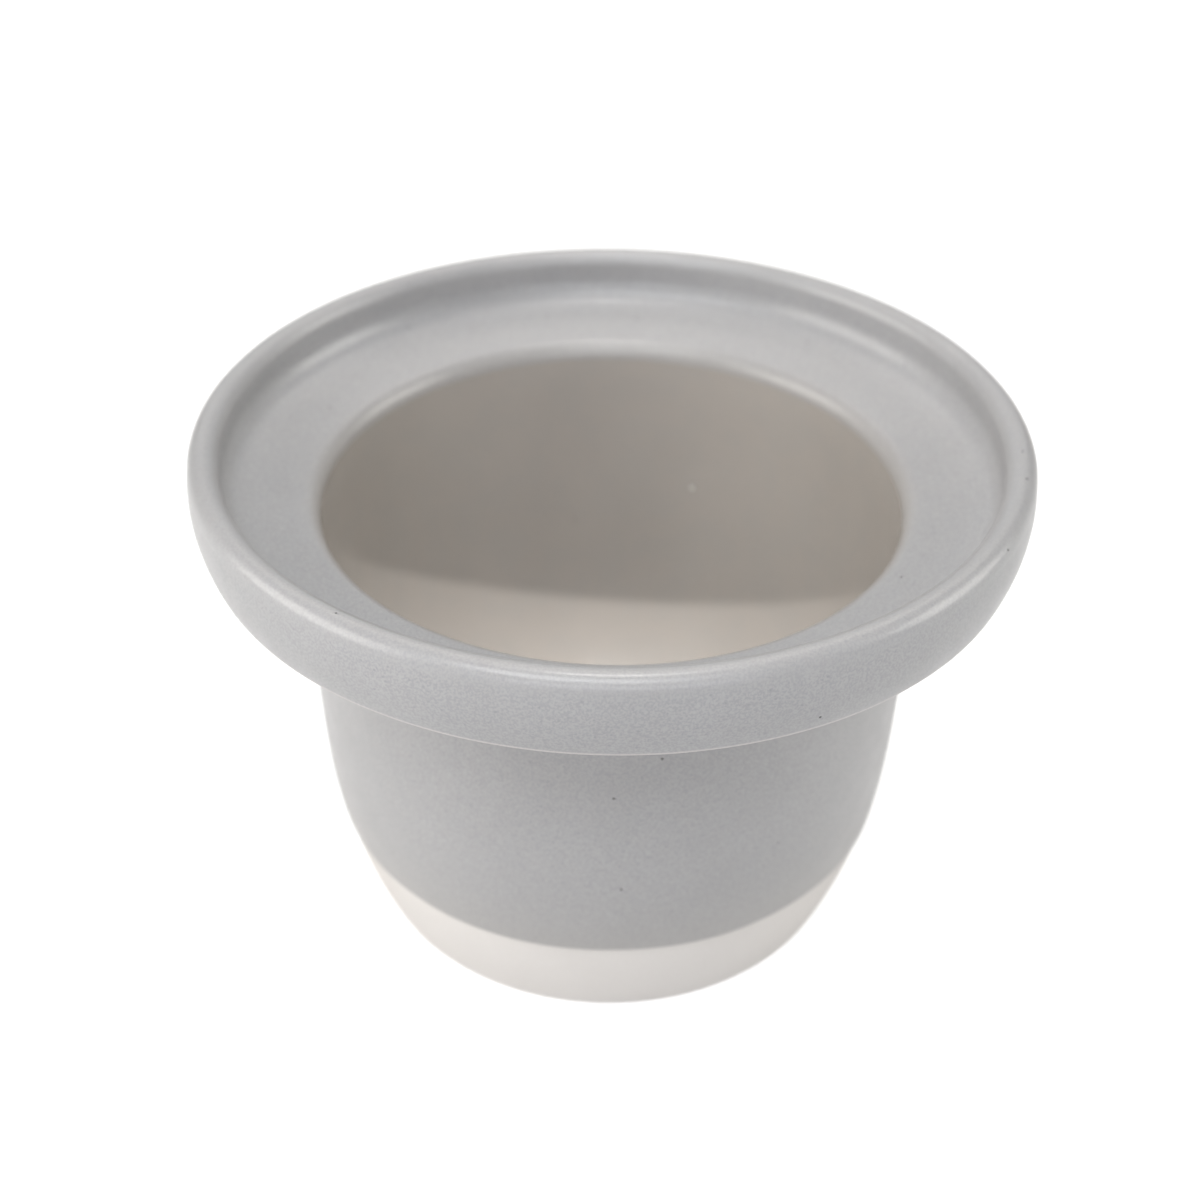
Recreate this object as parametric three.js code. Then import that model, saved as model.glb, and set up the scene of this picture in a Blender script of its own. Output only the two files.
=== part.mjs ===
// Stoneware yarn bowl: a tall, round bowl with a wide dished flange and an upstanding lip, bare at the foot
// and glazed above it. Millimetres, +Z up, origin at the centre of the foot's resting plane.
//
// The bowl is one round section turned about Z. The section is drawn once as the bare clay's outline, from
// the middle of the underside, out and up the wall, over the rim and down the well to the middle of the
// floor. Each glaze coat is a thin shell grown outwards from its own stretch of that outline.

import * as THREE from "three";

// Driving dimensions, measured over the glaze.
const RIM_DIAMETER = 150.4;
const HEIGHT = 98.7;
const MOUTH_DIAMETER = 105.4;
const COLLAR_DEPTH = 15.5;

// Glaze: how thick it lies, how far its solids stand off the clay, and the height of its lower edge.
const GLAZE = 0.4;
const BOND_GAP = 0.02;
const GLAZE_LINE = 20.7;

// Foot, in bare clay.
const FOOT_RADIUS = 46.5;
const FOOT_ROUND = 0.6;
const FOOT_RING_WIDTH = 6.5;
const RECESS_DEPTH = 2;
const RECESS_SLOPE = 1.5;

// Outer wall of the clay: a slight taper that curls in towards the foot below CURL_HEIGHT.
const WALL_TOP_RADIUS = 56.9;
const WALL_TAPER = 0.043;
const CURL_HEIGHT = 41.6;
const CURL_POWER = 2.35;
const BAND_START = 2.4;

// Well: straight down from the mouth to BOWL_TOP, then the quarter of an ellipse, cut off by a flat floor.
const BOWL_TOP = 75.2;
const BOWL_DEPTH = 73;
const FLOOR_HEIGHT = 9;
const FLOOR_CORNER_RISE = 3;
const FLOOR_CORNER_RADIUS = 12;

// Flange and lip of the clay.
const FLANGE_THICKNESS = 5;
const FLANGE_RISE = 1.9;
const FLANGE_CREASE_RADIUS = 64;
const FLANGE_CREASE_HEIGHT = 88;
const MOUTH_HEIGHT = 86;
const MOUTH_ROUND = 3;
const MOUTH_ROUND_RUN = 9;
const LIP_THICKNESS = 4.6;
const LIP_FILLET = 5;
const UNDER_FILLET = 4;
const UNDER_FILLET_RUN = 12;
const COLLAR_BULGE_HEIGHT = 92.5;
const COLLAR_BULGE = 0.0225;
const COLLAR_ARRIS = 0.3;

// Facets: steps round the axis, along each curved stretch, along each round and along each small edge.
const TURN_STEPS = 48;
const WALL_STEPS = 3;
const BARE_STEPS = 3;
const BOWL_STEPS = 7;
const COLLAR_STEPS = 3;
const ROUND_STEPS = 3;
const EDGE_STEPS = 2;

const CLAY = new THREE.MeshStandardMaterial({ color: 0xe4dfda, roughness: 0.85, metalness: 0 });
const WALL_GLAZE = new THREE.MeshStandardMaterial({ color: 0xb4b4b5, roughness: 0.42, metalness: 0 });
const RIM_GLAZE = new THREE.MeshStandardMaterial({ color: 0xbcbcbe, roughness: 0.36, metalness: 0 });
const WELL_GLAZE = new THREE.MeshStandardMaterial({ color: 0xb3aca6, roughness: 0.2, metalness: 0 });

const point = (radius, height) => new THREE.Vector2(radius, height);

const rimRadius = RIM_DIAMETER / 2 - GLAZE;
const mouthRadius = MOUTH_DIAMETER / 2 + GLAZE;
const crest = HEIGHT - GLAZE;
const collarFoot = HEIGHT - COLLAR_DEPTH + GLAZE;

// Radius of the clay's outer wall at a height.
function wallRadius(height) {
  const taper = WALL_TAPER * (collarFoot - height);
  const straightFoot = WALL_TOP_RADIUS - WALL_TAPER * collarFoot;
  const curl = Math.max(0, (CURL_HEIGHT - height) / CURL_HEIGHT) ** CURL_POWER;
  return WALL_TOP_RADIUS - taper - (straightFoot - FOOT_RADIUS) * curl;
}

// Radius of the collar's slightly bulging face at a height.
function collarRadius(height) {
  return rimRadius - COLLAR_BULGE * (height - COLLAR_BULGE_HEIGHT) ** 2;
}

// Points up or down a wall whose radius is a function of height, both ends included.
function along(radiusAt, from, to, steps) {
  const heights = Array.from({ length: steps + 1 }, (_, i) => from + ((to - from) * i) / steps);
  return heights.map((height) => point(radiusAt(height), height));
}

// The arc of the given radius that replaces a corner and touches both of its sides.
function rounded(before, corner, after, radius, steps = ROUND_STEPS) {
  const back = before.clone().sub(corner).normalize();
  const ahead = after.clone().sub(corner).normalize();
  const half = Math.acos(back.dot(ahead)) / 2;
  const start = corner.clone().addScaledVector(back, radius / Math.tan(half));
  const middle = back.clone().add(ahead).normalize();
  const centre = corner.clone().addScaledVector(middle, radius / Math.sin(half));
  const turn = Math.sign(ahead.cross(back)) * (Math.PI - 2 * half);
  return Array.from({ length: steps + 1 }, (_, i) =>
    start.clone().rotateAround(centre, (turn * i) / steps));
}

// Underside and bare band, from the axis to the glaze line.
function footOutline() {
  const ring = point(FOOT_RADIUS - FOOT_RING_WIDTH, 0);
  const recessEdge = point(ring.x - RECESS_SLOPE, RECESS_DEPTH);
  const band = along(wallRadius, BAND_START, GLAZE_LINE, BARE_STEPS);
  const edge = rounded(ring, point(FOOT_RADIUS, 0), band[0], FOOT_ROUND, EDGE_STEPS);
  return [point(0, RECESS_DEPTH), recessEdge, ring, ...edge, ...band];
}

// Glazed outer wall and the flange's underside, up to the collar's lower arris.
const underOuter = point(collarRadius(collarFoot), collarFoot);
const underInner = point(WALL_TOP_RADIUS, MOUTH_HEIGHT - FLANGE_THICKNESS);
function wallOutline() {
  const wall = along(wallRadius, GLAZE_LINE, underInner.y - UNDER_FILLET_RUN, WALL_STEPS);
  return [...wall.slice(1), ...rounded(wall.at(-1), underInner, underOuter, UNDER_FILLET)];
}

// The lower arris, the collar, the lip and the flange's dished top, as far as the mouth's round.
const collarTop = crest - LIP_THICKNESS / 2;
const lipInner = collarRadius(collarTop) - LIP_THICKNESS;
const crease = point(FLANGE_CREASE_RADIUS, FLANGE_CREASE_HEIGHT);
const mouth = point(mouthRadius, MOUTH_HEIGHT - GLAZE);
function arrisOutline() {
  const faceHeight = collarFoot + 2 * COLLAR_ARRIS;
  const face = point(collarRadius(faceHeight), faceHeight);
  return rounded(underInner, underOuter, face, COLLAR_ARRIS, EDGE_STEPS);
}
function rimOutline() {
  const face = along(collarRadius, collarFoot + 2 * COLLAR_ARRIS, collarTop, COLLAR_STEPS);
  const lipFoot = point(lipInner, crease.y + FLANGE_RISE);
  const lipAxis = point(lipInner + LIP_THICKNESS / 2, collarTop);
  const lip = Array.from({ length: 2 * ROUND_STEPS }, (_, i) =>
    face.at(-1).clone().rotateAround(lipAxis, (Math.PI * (i + 1)) / (2 * ROUND_STEPS)));
  return [...face, ...lip, ...rounded(lip.at(-1), lipFoot, crease, LIP_FILLET), crease];
}

// The mouth's round, then the well's bowl, its rounded corner and the floor, to the axis.
function mouthOutline() {
  return rounded(crease, mouth, point(mouthRadius, MOUTH_HEIGHT - MOUTH_ROUND_RUN), MOUTH_ROUND);
}
function bowlPoint(turn) {
  return point(mouthRadius * Math.cos(turn), BOWL_TOP - BOWL_DEPTH * Math.sin(turn));
}
function wellOutline() {
  const turnAt = (height) => Math.asin((BOWL_TOP - height) / BOWL_DEPTH);
  const lastTurn = turnAt(FLOOR_HEIGHT + FLOOR_CORNER_RISE);
  const bowl = Array.from({ length: BOWL_STEPS + 1 }, (_, i) => bowlPoint((lastTurn * i) / BOWL_STEPS));
  const corner = bowlPoint(turnAt(FLOOR_HEIGHT));
  const floor = point(0, FLOOR_HEIGHT);
  return [...bowl, ...rounded(bowl.at(-1), corner, floor, FLOOR_CORNER_RADIUS), floor];
}

// The whole clay outline, and the places where one coat of glaze gives way to the next.
const arris = arrisOutline();
const foot = footOutline();
const wall = [...wallOutline(), ...arris.slice(0, 2)];
const mouthRound = mouthOutline();
const rim = [...arris.slice(2), ...rimOutline(), ...mouthRound];
const well = wellOutline();
const outline = [...foot, ...wall, ...rim, ...well];
const glazeStart = foot.length - 1;
const rimStart = glazeStart + wall.length;
const wellStart = rimStart + rim.length;
const outlineEnd = outline.length - 1;

// The outline moved off the clay by a distance, square to its own run at each point.
function grown(distance) {
  return outline.map((place, i) => {
    const before = outline[Math.max(i - 1, 0)];
    const after = outline[Math.min(i + 1, outlineEnd)];
    const run = after.clone().sub(before).normalize();
    const moved = place.clone().add(point(run.y, -run.x).multiplyScalar(distance));
    return place.x === 0 ? point(0, moved.y) : moved;
  });
}

function turned(name, profile, material) {
  const mesh = new THREE.Mesh(new THREE.LatheGeometry(profile, TURN_STEPS), material);
  mesh.name = name;
  return mesh;
}

// A coat of glaze over the outline's stretch from one index to another.
function coat(name, from, to, material) {
  const outside = grown(GLAZE).slice(from, to + 1);
  const inside = grown(BOND_GAP).slice(from, to + 1).reverse();
  const closed = outside.at(-1).x === 0;
  const profile = closed ? [...inside, ...outside] : [...outside, ...inside, outside[0]];
  return turned(name, profile, material);
}

const bowl = new THREE.Group();
bowl.rotation.x = Math.PI / 2;
bowl.add(turned("clay_body", outline, CLAY));
bowl.add(coat("wall_glaze", glazeStart, rimStart, WALL_GLAZE));
bowl.add(coat("rim_glaze", rimStart, wellStart, RIM_GLAZE));
bowl.add(coat("well_glaze", wellStart, outlineEnd, WELL_GLAZE));

export default bowl;
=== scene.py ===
"""Looks of the stoneware yarn bowl: fine turned meshes with procedural glaze and clay, on a white table.

Everything is in metres, +Z up, with the bowl's axis on Z and its foot on the plane z = 0.
"""

import math

import bpy
import numpy as np
from mathutils import Matrix, Vector, noise


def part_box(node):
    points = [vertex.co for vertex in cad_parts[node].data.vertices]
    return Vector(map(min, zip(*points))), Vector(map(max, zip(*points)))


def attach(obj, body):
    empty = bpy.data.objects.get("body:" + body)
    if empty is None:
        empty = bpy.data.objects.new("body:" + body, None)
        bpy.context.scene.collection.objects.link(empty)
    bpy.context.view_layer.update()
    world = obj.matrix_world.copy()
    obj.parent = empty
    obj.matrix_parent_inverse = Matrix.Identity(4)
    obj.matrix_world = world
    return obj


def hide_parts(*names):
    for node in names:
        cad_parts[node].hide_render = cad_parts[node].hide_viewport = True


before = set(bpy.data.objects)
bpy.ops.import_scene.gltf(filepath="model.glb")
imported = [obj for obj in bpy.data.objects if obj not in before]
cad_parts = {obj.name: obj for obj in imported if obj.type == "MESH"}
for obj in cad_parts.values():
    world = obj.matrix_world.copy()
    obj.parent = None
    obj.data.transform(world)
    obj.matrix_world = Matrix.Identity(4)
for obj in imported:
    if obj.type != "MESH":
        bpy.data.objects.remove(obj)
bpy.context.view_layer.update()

MM = 0.001

# Sizes that the CAD nodes' boxes give.
clay_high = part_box("clay_body")[1]
rim_low, rim_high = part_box("rim_glaze")
wall_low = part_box("wall_glaze")[0]
well_low, well_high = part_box("well_glaze")
BOND_GAP = 0.02 * MM
GLAZE = rim_high.z - clay_high.z
RIM_RADIUS = clay_high.x
CREST = clay_high.z
GLAZE_LINE = wall_low.z
COLLAR_FOOT = rim_low.z + GLAZE
MOUTH_RADIUS = well_high.x + BOND_GAP
FLOOR = well_low.z - BOND_GAP

# Foot and outer wall of the clay.
FOOT_RADIUS = 46.5 * MM
FOOT_RING = 6.5 * MM
FOOT_ROUND = 0.6 * MM
RECESS = 2 * MM
RECESS_ROUND = 1.2 * MM
BAND_START = 2.4 * MM
WALL_TOP_RADIUS = 56.9 * MM
WALL_TAPER = 0.043
CURL_HEIGHT = 41.6 * MM
CURL_POWER = 2.35

# Flange, collar, lip and mouth of the clay.
UNDER_HEIGHT = 81 * MM
UNDER_FILLET = 4 * MM
UNDER_FILLET_RUN = 12 * MM
COLLAR_BULGE_HEIGHT = 92.5 * MM
COLLAR_BULGE = 22.5
COLLAR_ARRIS = 0.3 * MM
LIP_THICKNESS = 4.6 * MM
LIP_FILLET = 5 * MM
CREASE = (64 * MM, 88 * MM)
FLANGE_RISE = 1.9 * MM
CREASE_ROUND = 9 * MM
MOUTH_HEIGHT = 85.6 * MM
MOUTH_ROUND = 3 * MM

# The well's bowl: a quarter of an ellipse, cut off by a flat floor.
BOWL_TOP = 75.2 * MM
BOWL_DEPTH = 73 * MM
FLOOR_CORNER_RISE = 3 * MM
FLOOR_CORNER_RADIUS = 12 * MM

# How finely the section is drawn and turned.
TURN_STEPS = 256
STEP = 0.7 * MM
ARC_STEPS = 14
RING_STEPS = 6
FOOT_STEPS = 8
ARRIS_STEPS = 12
CREASE_STEPS = 6

# Handwork: how far the turned shape, the glaze's skin and the glaze line wander, and each one's noise seed.
WOBBLE = 0.16 * MM
WOBBLE_SIZE = 60 * MM
WOBBLE_SEED = 3.1
SKIN_WAVE = 0.045 * MM
SKIN_WAVE_SIZE = 11 * MM
SKIN_WAVE_SEED = 7.7
LINE_WAVE = 0.4 * MM
LINE_WAVE_SIZE = 22 * MM
LINE_WAVE_SEED = 5.3
LINE_WAVE_REACH = 5 * MM

# How far the wall's glaze takes to swell to its full thickness above the glaze line.
EDGE_BEAD = 1.1 * MM

# How far along the outline its bend is averaged, for the paler edges.
CURVE_BLUR = 0.35 * MM

# A bead of glaze on the well's far wall.
BEAD_TURN = math.radians(70.3)
BEAD_HEIGHT = 55.6 * MM
BEAD_RADIUS = 0.75 * MM
BEAD_FLATNESS = 0.5
BEAD_TILT = 0.22


# ---- The section -------------------------------------------------------------------------------------

def unit(vector):
    return vector / np.linalg.norm(vector)


def rounded(before, corner, after, radius, steps=ARC_STEPS):
    """The arc that replaces a corner of the outline and touches both of its sides."""
    before, corner, after = np.array(before), np.array(corner), np.array(after)
    back = unit(before - corner)
    ahead = unit(after - corner)
    half = math.acos(back @ ahead) / 2
    start = corner + back * radius / math.tan(half)
    centre = corner + unit(back + ahead) * radius / math.sin(half)
    turn = math.copysign(math.pi - 2 * half, ahead[0] * back[1] - ahead[1] * back[0])
    return [turned_about(start, centre, turn * i / steps) for i in range(steps + 1)]


def turned_about(place, centre, angle):
    x, y = place - centre
    c, s = math.cos(angle), math.sin(angle)
    return (centre[0] + x * c - y * s, centre[1] + x * s + y * c)


def straight(start, end):
    """Points spaced along a straight stretch, without its start."""
    count = max(1, round(math.dist(start, end) / STEP))
    return [tuple(np.array(start) + (np.array(end) - np.array(start)) * i / count)
            for i in range(1, count + 1)]


def along(radius_at, low, high):
    count = max(2, round(abs(high - low) / STEP))
    return [(radius_at(z), z) for z in np.linspace(low, high, count + 1)]


def wall_radius(z):
    straight_foot = WALL_TOP_RADIUS - WALL_TAPER * COLLAR_FOOT
    curl = max(0.0, (CURL_HEIGHT - z) / CURL_HEIGHT) ** CURL_POWER
    return WALL_TOP_RADIUS - WALL_TAPER * (COLLAR_FOOT - z) - (straight_foot - FOOT_RADIUS) * curl


def collar_radius(z):
    return RIM_RADIUS - COLLAR_BULGE * (z - COLLAR_BULGE_HEIGHT) ** 2


def foot_outline():
    """Underside with its turned recess, the foot ring and the bare band, up to the glaze line."""
    ring = (FOOT_RADIUS - FOOT_RING, 0)
    band = along(wall_radius, BAND_START, GLAZE_LINE)
    recess = (ring[0] - RECESS, RECESS)
    centre = (0, RECESS)
    inner = rounded(centre, recess, ring, RECESS_ROUND)
    ring_in = rounded(recess, ring, (FOOT_RADIUS, 0), FOOT_ROUND / 2, RING_STEPS)
    ring_out = rounded(ring, (FOOT_RADIUS, 0), band[0], FOOT_ROUND, FOOT_STEPS)
    return [centre, *straight(centre, inner[0]), *inner[1:], *ring_in, *straight(ring_in[-1], ring_out[0]),
            *ring_out[1:], *band]


under_in = (WALL_TOP_RADIUS, UNDER_HEIGHT)
under_out = (collar_radius(COLLAR_FOOT), COLLAR_FOOT)
collar_top = CREST - LIP_THICKNESS / 2
lip_in = collar_radius(collar_top) - LIP_THICKNESS
mouth = (MOUTH_RADIUS, MOUTH_HEIGHT)


def wall_outline():
    """The glazed wall and the flange's underside, as far as the collar's lower arris."""
    wall = along(wall_radius, GLAZE_LINE, UNDER_HEIGHT - UNDER_FILLET_RUN)[1:]
    fillet = rounded(wall[-1], under_in, under_out, UNDER_FILLET)
    return [*wall, *straight(wall[-1], fillet[0]), *fillet[1:]]


def arris_outline():
    face = (collar_radius(COLLAR_FOOT + MM), COLLAR_FOOT + MM)
    return rounded(under_in, under_out, face, COLLAR_ARRIS, ARRIS_STEPS)


def rim_outline():
    """The collar's face, the lip, the dished flange and the mouth's round."""
    face = along(collar_radius, COLLAR_FOOT + 2 * COLLAR_ARRIS, collar_top)
    lip_axis = np.array((lip_in + LIP_THICKNESS / 2, collar_top))
    turns = np.linspace(0, math.pi, 2 * ARC_STEPS + 1)
    lip = [turned_about(np.array(face[-1]), lip_axis, turn) for turn in turns[1:]]
    lip_foot = (lip_in, CREASE[1] + FLANGE_RISE)
    fillet = rounded(lip[-1], lip_foot, CREASE, LIP_FILLET)
    crease = rounded(lip_foot, CREASE, mouth, CREASE_ROUND, CREASE_STEPS)
    roll = rounded(CREASE, mouth, (MOUTH_RADIUS, BOWL_TOP), MOUTH_ROUND)
    return [*face, *lip, *fillet, *straight(fillet[-1], crease[0]), *crease[1:],
            *straight(crease[-1], roll[0]), *roll[1:]]


def bowl_point(turn):
    return (MOUTH_RADIUS * math.cos(turn), BOWL_TOP - BOWL_DEPTH * math.sin(turn))


def well_outline(start):
    """The well's wall and rounded bottom, from the end of the mouth's round to the middle of the floor."""
    last_turn = math.asin((BOWL_TOP - FLOOR - FLOOR_CORNER_RISE) / BOWL_DEPTH)
    turns = np.linspace(0, last_turn, round(BOWL_DEPTH / STEP))
    bowl = [bowl_point(turn) for turn in turns]
    corner = bowl_point(math.asin((BOWL_TOP - FLOOR) / BOWL_DEPTH))
    centre = (0, FLOOR)
    bend = rounded(bowl[-1], corner, centre, FLOOR_CORNER_RADIUS)
    return [*straight(start, bowl[0]), *bowl[1:], *bend, *straight(bend[-1], centre)]


bead_radius = bowl_point(math.asin((BOWL_TOP - BEAD_HEIGHT) / BOWL_DEPTH))[0] - GLAZE
BEAD_PLACE = (bead_radius * math.cos(BEAD_TURN), bead_radius * math.sin(BEAD_TURN), BEAD_HEIGHT)

foot = foot_outline()
wall = wall_outline()
arris = arris_outline()
rim = rim_outline()
well = well_outline(rim[-1])
half_arris = len(arris) // 2
outline = np.array([*foot, *wall, *arris, *rim, *well])
glaze_start = len(foot) - 1
rim_start = len(foot) + len(wall) + half_arris
well_start = len(foot) + len(wall) + len(arris) + len(rim) - 1
outline_end = len(outline) - 1

# Which way the outline runs at each point, and how sharply it bends there (per metre, outward positive).
runs = np.gradient(outline, axis=0)
runs /= np.linalg.norm(runs, axis=1)[:, None]
outward = np.stack([runs[:, 1], -runs[:, 0]], 1)
travel = np.concatenate([[0], np.cumsum(np.linalg.norm(np.diff(outline, axis=0), axis=1))])


def bend_per_metre():
    turn = np.unwrap(np.arctan2(runs[:, 1], runs[:, 0]))
    raw = np.gradient(turn, travel)
    near = np.exp(-((travel[:, None] - travel[None, :]) / CURVE_BLUR) ** 2)
    spacing = np.gradient(travel)
    return (near * raw * spacing).sum(1) / (near * spacing).sum(1)


bends = bend_per_metre()


def grown(distance):
    """The outline moved off the clay, square to its own run; distance is one number or one per point."""
    moved = outline + outward * np.reshape(distance, (-1, 1))
    moved[outline[:, 0] < BOND_GAP, 0] = 0
    return moved


# ---- Turning the section into meshes -------------------------------------------------------------------

def wander(place, size, seed):
    return noise.noise(Vector(place) / size + Vector((seed, 2 * seed, 3 * seed)))


def shaped(radius, z, angle, skin):
    """A point of the turned shape with its handmade wobble; skin is 1 on a glaze coat's outer face."""
    c, s = math.cos(angle), math.sin(angle)
    place = (radius * c, radius * s, z)
    radius += WOBBLE * wander(place, WOBBLE_SIZE, WOBBLE_SEED) * min(1, radius / WALL_TOP_RADIUS)
    if skin:
        radius += skin * SKIN_WAVE * wander(place, SKIN_WAVE_SIZE, SKIN_WAVE_SEED)
    # Only the outside waves up and down at the glaze line: the well is narrower than the foot there.
    near_line = math.exp(-((z - GLAZE_LINE) / LINE_WAVE_REACH) ** 2)
    outside = 1 if radius > FOOT_RADIUS else 0
    round_foot = (FOOT_RADIUS * c, FOOT_RADIUS * s, 0)
    z += outside * near_line * LINE_WAVE * wander(round_foot, LINE_WAVE_SIZE, LINE_WAVE_SEED)
    return (radius * c, radius * s, z)


def turned(name, profile, skins, bend_values, sharp_rings=()):
    """A closed mesh of revolution. A profile point on the axis becomes one vertex, not a ring."""
    verts, rings, bend_list = [], [], []
    for (radius, z), skin, bend in zip(profile, skins, bend_values):
        count = 1 if radius == 0 else TURN_STEPS
        rings.append([len(verts) + k for k in range(count)])
        verts += [shaped(radius, z, 2 * math.pi * k / TURN_STEPS, skin) for k in range(count)]
        bend_list += [bend] * count
    ends_on_axis = len(rings[0]) == 1
    pairs = list(zip(rings, rings[1:]))
    if not ends_on_axis:
        pairs.append((rings[-1], rings[0]))
    faces = [face for low, high in pairs for face in strip(low, high)]
    mesh = bpy.data.meshes.new(name)
    mesh.from_pydata(verts, [], faces)
    mesh.validate()
    mesh.shade_smooth()
    mark_sharp(mesh, [rings[i] for i in sharp_rings])
    mesh.attributes.new("bend", "FLOAT", "POINT").data.foreach_set("value", bend_list)
    piece = bpy.data.objects.new(name, mesh)
    bpy.context.scene.collection.objects.link(piece)
    return piece


def strip(low, high):
    """The faces between two neighbouring rings, either of which may be a single point."""
    faces = []
    for k in range(TURN_STEPS):
        n = (k + 1) % TURN_STEPS
        corners = [low[k % len(low)], low[n % len(low)], high[n % len(high)], high[k % len(high)]]
        faces.append(list(dict.fromkeys(corners)))
    return faces


def mark_sharp(mesh, rings):
    members = set(vertex for ring in rings for vertex in ring)
    for edge in mesh.edges:
        if edge.vertices[0] in members and edge.vertices[1] in members:
            edge.use_edge_sharp = True


def coat(name, start, end, rounded_start=False):
    """A shell of glaze over the outline's stretch from one index to another, thick and square at its ends.

    With rounded_start, the shell swells from nothing to its full thickness in a round at its first end.
    """
    thickness = np.full(len(outline), GLAZE)
    if rounded_start:
        reach = np.clip((travel - travel[start]) / EDGE_BEAD, 0, 1)
        thickness = BOND_GAP + (GLAZE - BOND_GAP) * np.sqrt(1 - (1 - reach) ** 2)
        thickness[start] = 2 * BOND_GAP
    outside = grown(thickness)[start:end + 1]
    inside = grown(BOND_GAP)[start:end + 1][::-1]
    bends_out = bends[start:end + 1]
    closes_on_axis = outside[-1][0] == 0
    count = len(outside)
    if closes_on_axis:
        profile = [*inside, *outside]
        skins = [0] * count + [1] * count
        values = [*bends_out[::-1], *bends_out]
        sharp = [count - 1, count]
    else:
        profile = [*outside, *inside]
        skins = [1] * count + [0] * count
        values = [*bends_out, *bends_out[::-1]]
        sharp = [0, count - 1, count, 2 * count - 1]
    return turned(name, profile, skins, values, sharp)


# ---- Materials -----------------------------------------------------------------------------------------

# A speck has its full tone within this share of its radius, and fades out from there.
SPECK_CORE = 0.4


class Shader:
    """One material's node tree, with short calls for the nodes that the bowl's materials use."""

    def __init__(self, name):
        self.material = bpy.data.materials.new(name)
        self.material.use_nodes = True
        self.tree = self.material.node_tree
        self.surface = self.tree.nodes["Principled BSDF"]
        self.place = self.add("ShaderNodeTexCoord").outputs["Object"]

    def add(self, kind, values=None, **settings):
        node = self.tree.nodes.new(kind)
        for key, value in settings.items():
            setattr(node, key, value)
        for socket, value in (values or {}).items():
            self.put(node.inputs[socket], value)
        return node

    def put(self, socket, value):
        if isinstance(value, bpy.types.NodeSocket):
            self.tree.links.new(value, socket)
        elif isinstance(value, tuple) and len(value) == 3 and len(socket.default_value) == 4:
            socket.default_value = (*value, 1)
        else:
            socket.default_value = value

    def set(self, **values):
        for key, value in values.items():
            self.put(self.surface.inputs[key.replace("_", " ")], value)

    def noise(self, size, detail=2.0, place=None):
        """Soft cloudy noise from 0 to 1, whose blotches are about size across."""
        values = {"Vector": place or self.place, "Scale": 1 / size, "Detail": detail}
        return self.add("ShaderNodeTexNoise", values).outputs["Fac"]

    def ramp(self, value, low, high, start=0.0, end=1.0):
        values = {"Value": value, "From Min": low, "From Max": high, "To Min": start, "To Max": end}
        return self.add("ShaderNodeMapRange", values, interpolation_type="SMOOTHSTEP").outputs["Result"]

    def patches(self, size, detail=2.0, start=0.0, end=1.0, spread=0.2):
        """Noise stretched to run from start to end; a smaller spread gives its patches sharper edges."""
        return self.ramp(self.noise(size, detail), 0.5 - spread, 0.5 + spread, start, end)

    def math(self, operation, first, second=0.0):
        return self.add("ShaderNodeMath", {0: first, 1: second}, operation=operation).outputs[0]

    def mix(self, amount, first, second):
        # Of the mix node's sockets, inputs 6 and 7 and output 2 are the ones for colours.
        node = self.add("ShaderNodeMix", data_type="RGBA")
        for socket, value in ((node.inputs[0], amount), (node.inputs[6], first), (node.inputs[7], second)):
            self.put(socket, value)
        return node.outputs[2]

    def attribute(self, name):
        return self.add("ShaderNodeAttribute", attribute_name=name).outputs["Fac"]

    def height(self):
        return self.add("ShaderNodeSeparateXYZ", {0: self.place}).outputs["Z"]

    def radius(self):
        """Distance from the bowl's axis."""
        flat = self.add("ShaderNodeVectorMath", {0: self.place, 1: (1, 1, 0)}, operation="MULTIPLY")
        return self.add("ShaderNodeVectorMath", {0: flat.outputs[0]}, operation="LENGTH").outputs["Value"]

    def distance(self, place):
        offset = self.add("ShaderNodeVectorMath", {0: self.place, 1: place}, operation="DISTANCE")
        return offset.outputs["Value"]

    def bump(self, height, depth, normal=None):
        values = {"Height": height, "Distance": depth, "Strength": 1.0}
        if normal:
            values["Normal"] = normal
        return self.add("ShaderNodeBump", values).outputs["Normal"]

    def specks(self, cell, radius, share):
        """1 inside small round spots, at most one to a cell of space, in the given share of the cells."""
        values = {"Vector": self.place, "Scale": 1 / cell, "Randomness": 1.0}
        cells = self.add("ShaderNodeTexVoronoi", values)
        lot = self.add("ShaderNodeSeparateColor", {0: cells.outputs["Color"]}).outputs[0]
        chosen = self.math("LESS_THAN", lot, share)
        spot = self.ramp(cells.outputs["Distance"], radius / cell, SPECK_CORE * radius / cell)
        return self.math("MULTIPLY", spot, chosen)


def tinted(colour, factor):
    return tuple(channel * factor for channel in colour)


CLAY_TONE = (0.64, 0.617, 0.597)
WALL_TONE = (0.329, 0.326, 0.329)
RIM_TONE = (0.322, 0.321, 0.326)
LINER_TONE = (0.327, 0.308, 0.287)
SPECKLE_TONE = (0.135, 0.14, 0.16)
EDGE_TONE = (0.66, 0.60, 0.58)
WARM_TONE = (0.44, 0.36, 0.30)
IRON_TONE = (0.25, 0.17, 0.11)
PINHOLE_TONE = (0.03, 0.028, 0.026)
GLAZE_IOR = 1.5
CLAY_IOR = 1.45

# Speckle of the outer glaze: how much the wall and the rim have, and how much of it is left on the lip.
WALL_SPECKLE = 0.74
RIM_SPECKLE = 0.75
LIP_SHARE = 0.6
LIP_FROM = CREST - 4 * MM
LIP_TO = CREST - 1.5 * MM

# The outer glaze warms towards the liner's tone inside this ring of the flange.
MOUTH_ZONE_OUTSIDE = 56 * MM
MOUTH_ZONE_INSIDE = 53 * MM

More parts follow.
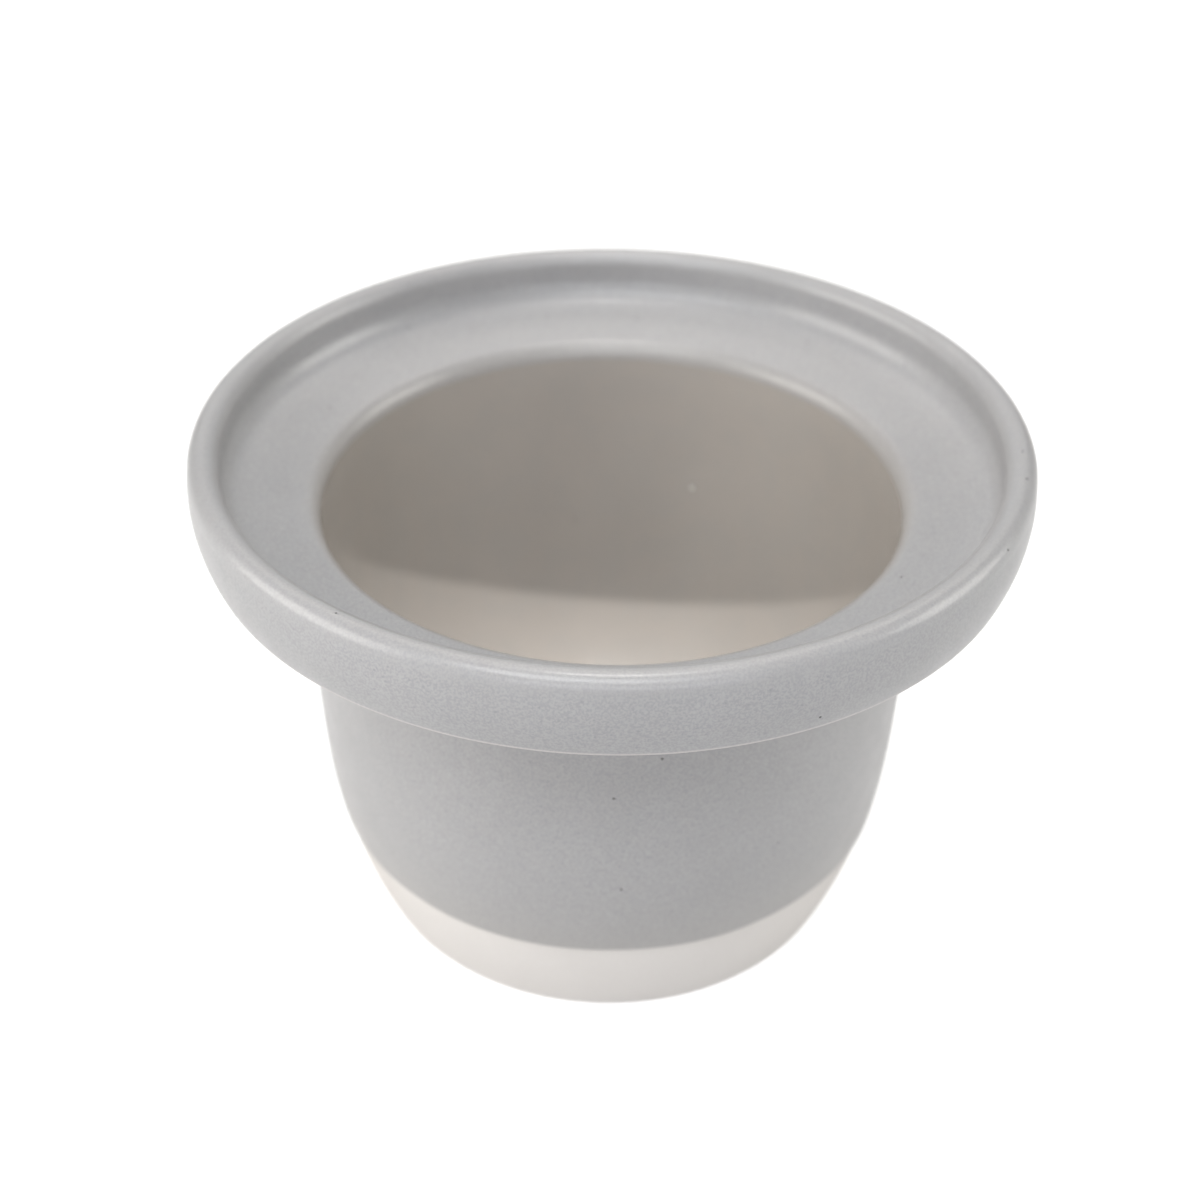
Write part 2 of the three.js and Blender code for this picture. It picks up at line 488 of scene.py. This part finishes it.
# The liner turns matte on the well's floor, so that the floor doesn't mirror the lights above it.
MATTE_FROM = FLOOR + 9 * MM
MATTE_TO = FLOOR + 2 * MM
MATTE_ROUGHNESS = 0.7

# The outer glaze is thin and pale where the outline bends this sharply, per metre, after some raggedness.
THIN_FROM = 1100
THIN_TO = 2800
RAGGEDNESS = 600


def speckled(shader, body, strength):
    """Fine mottling of a stoneware glaze: two sizes of soft grain and a scatter of darker flecks."""
    fine = shader.patches(size=0.42 * MM, detail=2, end=0.34, spread=0.14)
    coarse = shader.patches(size=1.1 * MM, detail=1, end=0.05)
    fleck = shader.math("MULTIPLY", shader.specks(cell=1.3 * MM, radius=0.34 * MM, share=0.7), 0.26)
    for amount in (fine, coarse, fleck):
        body = shader.mix(shader.math("MULTIPLY", amount, strength), body, SPECKLE_TONE)
    return body


def outer_glaze(name, tone, speckle):
    """Satin grey glaze: fine speckle, soft clouds, a few pinholes, and paler where it thins on an edge."""
    shader = Shader(name)
    body = shader.mix(shader.patches(size=26 * MM), tone, tinted(tone, 1.05))
    body = shader.mix(shader.patches(size=3 * MM, detail=1, end=0.025), body, WARM_TONE)
    calmer_lip = shader.ramp(shader.height(), LIP_FROM, LIP_TO, speckle, LIP_SHARE * speckle)
    body = speckled(shader, body, calmer_lip)
    near_mouth = shader.ramp(shader.radius(), MOUTH_ZONE_OUTSIDE, MOUTH_ZONE_INSIDE, end=0.4)
    body = shader.mix(near_mouth, body, LINER_TONE)
    ragged = shader.math("MULTIPLY", shader.noise(size=3 * MM), RAGGEDNESS)
    bend = shader.math("ADD", shader.attribute("bend"), ragged)
    body = shader.mix(shader.ramp(bend, THIN_FROM, THIN_TO, end=0.4), body, EDGE_TONE)
    pinhole = shader.specks(cell=7 * MM, radius=0.32 * MM, share=0.7)
    body = shader.mix(pinhole, body, PINHOLE_TONE)
    peel = shader.bump(shader.noise(size=2.6 * MM, detail=1), depth=0.010 * MM)
    grain = shader.bump(shader.noise(size=0.45 * MM), depth=0.0015 * MM, normal=peel)
    pit = shader.bump(shader.math("SUBTRACT", 1.0, pinhole), depth=0.15 * MM, normal=grain)
    roughness = shader.patches(size=5 * MM, start=0.28, end=0.34)
    shader.set(Base_Color=body, Roughness=roughness, IOR=GLAZE_IOR, Normal=pit)
    return shader.material


def liner_glaze():
    """Clear glaze over the pale clay in the well, matte on the floor, with a few pinholes, and a painted
    highlight on the glaze bead.
    """
    shader = Shader("liner_glaze")
    body = shader.mix(shader.patches(size=34 * MM), tinted(LINER_TONE, 0.97), tinted(LINER_TONE, 1.03))
    body = shader.mix(shader.patches(size=6 * MM, end=0.06, spread=0.1), body, WARM_TONE)
    body = shader.mix(shader.patches(size=0.5 * MM, end=0.04, spread=0.15), body, SPECKLE_TONE)
    body = shader.mix(shader.specks(cell=9 * MM, radius=0.24 * MM, share=0.35), body, PINHOLE_TONE)
    # Painted highlight: the glaze bead's spot is mixed towards the pale clay tone, so that it shines like a
    # glint.
    bead = shader.ramp(shader.distance(BEAD_PLACE), 1.2 * BEAD_RADIUS, 0.4 * BEAD_RADIUS, end=0.7)
    body = shader.mix(bead, body, CLAY_TONE)
    wave = shader.bump(shader.noise(size=9 * MM, detail=1), depth=0.05 * MM)
    peel = shader.bump(shader.noise(size=2.2 * MM, detail=1), depth=0.008 * MM, normal=wave)
    gloss = shader.patches(size=8 * MM, start=0.16, end=0.22)
    roughness = shader.ramp(shader.height(), MATTE_FROM, MATTE_TO, gloss, MATTE_ROUGHNESS)
    shader.set(Base_Color=body, Roughness=roughness, IOR=GLAZE_IOR, Normal=peel)
    return shader.material


def bare_clay():
    """Smooth matte stoneware: fine sand grain, faint turning lines and a few iron specks."""
    shader = Shader("bare_clay")
    cloud = shader.patches(size=18 * MM, detail=3)
    body = shader.mix(cloud, tinted(CLAY_TONE, 0.98), tinted(CLAY_TONE, 1.01))
    body = shader.mix(shader.patches(size=0.4 * MM, detail=3, end=0.05, spread=0.15), body, IRON_TONE)
    iron = shader.math("MULTIPLY", shader.specks(cell=9 * MM, radius=0.14 * MM, share=0.3), 0.5)
    body = shader.mix(iron, body, IRON_TONE)
    level = shader.add("ShaderNodeCombineXYZ", {"Z": shader.height()}).outputs[0]
    lines = shader.bump(shader.noise(size=1.4 * MM, place=level), depth=0.012 * MM)
    sand = shader.bump(shader.noise(size=0.3 * MM, detail=3), depth=0.012 * MM, normal=lines)
    shader.set(Base_Color=body, Roughness=0.88, IOR=CLAY_IOR, Normal=sand)
    return shader.material


# ---- The pieces ----------------------------------------------------------------------------------------

def glaze_bump(liner):
    """A raised bead of glaze on the well's wall, joined to the liner as a low dome."""
    inward = Vector((-math.cos(BEAD_TURN), -math.sin(BEAD_TURN), BEAD_TILT))
    bpy.ops.mesh.primitive_uv_sphere_add(segments=32, ring_count=16, radius=BEAD_RADIUS)
    bead = bpy.context.object
    bead.data.shade_smooth()
    lean = inward.to_track_quat("Z", "Y").to_matrix().to_4x4()
    bead.data.transform(Matrix.Translation(BEAD_PLACE) @ lean @ Matrix.Diagonal((1, 1, BEAD_FLATNESS, 1)))
    bead.data.materials.append(liner.data.materials[0])
    with bpy.context.temp_override(active_object=liner, selected_editable_objects=[liner, bead]):
        bpy.ops.object.join()


clay = turned("clay", outline, [0] * len(outline), bends)
outer_coat = coat("outer_glaze", glaze_start, rim_start, rounded_start=True)
flange_coat = coat("flange_glaze", rim_start, well_start)
liner = coat("liner", well_start, outline_end)
pieces = {
    "clay_body": (clay, bare_clay()),
    "wall_glaze": (outer_coat, outer_glaze("wall_glaze", WALL_TONE, WALL_SPECKLE)),
    "rim_glaze": (flange_coat, outer_glaze("rim_glaze", RIM_TONE, RIM_SPECKLE)),
    "well_glaze": (liner, liner_glaze()),
}
for node, (piece, material) in pieces.items():
    piece.data.materials.append(material)
glaze_bump(liner)
for node, (piece, material) in pieces.items():
    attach(piece, "root")
    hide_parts(node)


# ---- Stage, light and camera ---------------------------------------------------------------------------

TABLE_SIZE = 6
TABLE_TONE = (0.5, 0.5, 0.5)
TABLE_ROUGHNESS = 0.8

# How strongly the table glows as light on the bowl and to the camera, and how far reflections see the latter.
TABLE_BOUNCE = 0.21
TABLE_GLOW = 0.8
TABLE_SHEEN = 0.45

# The key lights lean from overhead to the back, and swing from there to the right: they cast the mouth's edge
# into the well.
KEY_TONE = (1, 0.97, 0.94)
KEY_WIDTH = math.radians(9)
WELL_KEY_WIDTH = math.radians(1)
KEY_LEAN = math.radians(12)
KEY_SWING = math.radians(4)

# Colours of the panels, and the heights on the bowl's axis that they face.
SKY = (0.97, 0.985, 1.0)
COOL = (0.965, 0.97, 1.0)
BLUISH = (0.9, 0.95, 1.0)
CREAM = (1, 0.985, 0.93)
WARM = (1, 0.97, 0.92)
AMBER = (1, 0.95, 0.89)
RIM_LEVEL = 0.08
WALL_LEVEL = 0.06
WAIST_LEVEL = 0.05

# The camera stands in front of the bowl and looks down at it. Lens and sensor are in millimetres.
CAMERA_DISTANCE = 0.2937
CAMERA_RISE = 0.1701
CAMERA_PITCH = math.radians(35.40)
CAMERA_YAW = math.radians(0.37)
CAMERA_ROLL = math.radians(0.57)
CAMERA_LENS = 57
CAMERA_SENSOR = 36
CAMERA_FOCUS = 0.285
CAMERA_STOP = 13


def studio_table():
    """A plain pale table that glows: brightly to the camera, less in reflections, and faintly as light."""
    bpy.ops.mesh.primitive_plane_add(size=TABLE_SIZE)
    table = bpy.context.object
    table.name = "table"
    shader = Shader("table")
    rays = shader.add("ShaderNodeLightPath").outputs
    mirrored = shader.math("MULTIPLY", rays["Is Glossy Ray"], TABLE_SHEEN)
    seen = shader.math("MAXIMUM", rays["Is Camera Ray"], mirrored)
    glow = shader.ramp(seen, 0, 1, TABLE_BOUNCE, TABLE_GLOW)
    shader.set(Base_Color=TABLE_TONE, Roughness=TABLE_ROUGHNESS)
    shader.set(Emission_Color=(1, 1, 1), Emission_Strength=glow)
    table.data.materials.append(shader.material)


def surroundings():
    """A white backdrop that only the camera sees: all the light comes from the lamps and the table."""
    world = bpy.data.worlds.new("studio")
    bpy.context.scene.world = world
    world.use_nodes = True
    background = world.node_tree.nodes["Background"]
    background.inputs["Color"].default_value = (1, 1, 1, 1)
    seen = world.node_tree.nodes.new("ShaderNodeLightPath").outputs["Is Camera Ray"]
    world.node_tree.links.new(seen, background.inputs["Strength"])


def hang_light(name, light, place, target):
    holder = bpy.data.objects.new(name, light)
    holder.location = place
    holder.rotation_euler = (Vector(place) - Vector(target)).to_track_quat("Z", "Y").to_euler()
    bpy.context.scene.collection.objects.link(holder)
    return holder


def panel(name, place, level, width, height, watts, colour):
    """A soft rectangular light that faces the bowl's axis at the given level."""
    light = bpy.data.lights.new(name, "AREA")
    light.shape = "RECTANGLE"
    light.size = width
    light.size_y = height
    light.energy = watts
    light.color = colour
    hang_light(name, light, place, (0, 0, level))


def key_light(name, strength, width, only_on=None):
    """A far light of the given width, on everything or only on one piece."""
    light = bpy.data.lights.new(name, "SUN")
    light.energy = strength
    light.angle = width
    light.color = KEY_TONE
    across = math.sin(KEY_LEAN)
    place = (across * math.sin(KEY_SWING), across * math.cos(KEY_SWING), math.cos(KEY_LEAN))
    holder = hang_light(name, light, place, (0, 0, 0))
    if only_on:
        holder.light_linking.receiver_collection = bpy.data.collections.new(name)
        holder.light_linking.receiver_collection.objects.link(only_on)


def camera():
    data = bpy.data.cameras.new("camera")
    data.lens = CAMERA_LENS
    data.sensor_width = CAMERA_SENSOR
    data.dof.use_dof = True
    data.dof.focus_distance = CAMERA_FOCUS
    data.dof.aperture_fstop = CAMERA_STOP
    holder = bpy.data.objects.new("camera", data)
    stand = Matrix.Translation((0, -CAMERA_DISTANCE, rim_high.z + CAMERA_RISE))
    yaw = Matrix.Rotation(CAMERA_YAW, 4, "Z")
    pitch = Matrix.Rotation(math.pi / 2 - CAMERA_PITCH, 4, "X")
    roll = Matrix.Rotation(CAMERA_ROLL, 4, "Z")
    holder.matrix_world = stand @ yaw @ pitch @ roll
    bpy.context.scene.collection.objects.link(holder)
    bpy.context.scene.camera = holder


studio_table()
surroundings()
key_light("key", strength=0.88, width=KEY_WIDTH)
key_light("well_key", strength=4.8, width=WELL_KEY_WIDTH, only_on=liner)
panel("overhead", place=(-0.15, -0.68, 1.25), level=RIM_LEVEL, width=1.0, height=0.55, watts=11.8, colour=SKY)
panel("front", place=(0.0, -1.4, 0.55), level=WAIST_LEVEL, width=1.6, height=0.6, watts=8.8, colour=COOL)
panel("left", place=(-1.25, -0.25, 0.62), level=WALL_LEVEL, width=1.2, height=0.9, watts=17.4, colour=WARM)
panel("right", place=(1.3, 0.1, 0.6), level=WAIST_LEVEL, width=0.8, height=0.8, watts=10.6, colour=CREAM)
panel("back", place=(0.0, 0.8, 1.1), level=RIM_LEVEL, width=1.2, height=0.6, watts=4.7, colour=AMBER)
panel("rear", place=(0.0, 1.3, 0.5), level=WALL_LEVEL, width=1.4, height=0.6, watts=1.9, colour=BLUISH)
camera()
bpy.context.scene.view_settings.view_transform = "Standard"
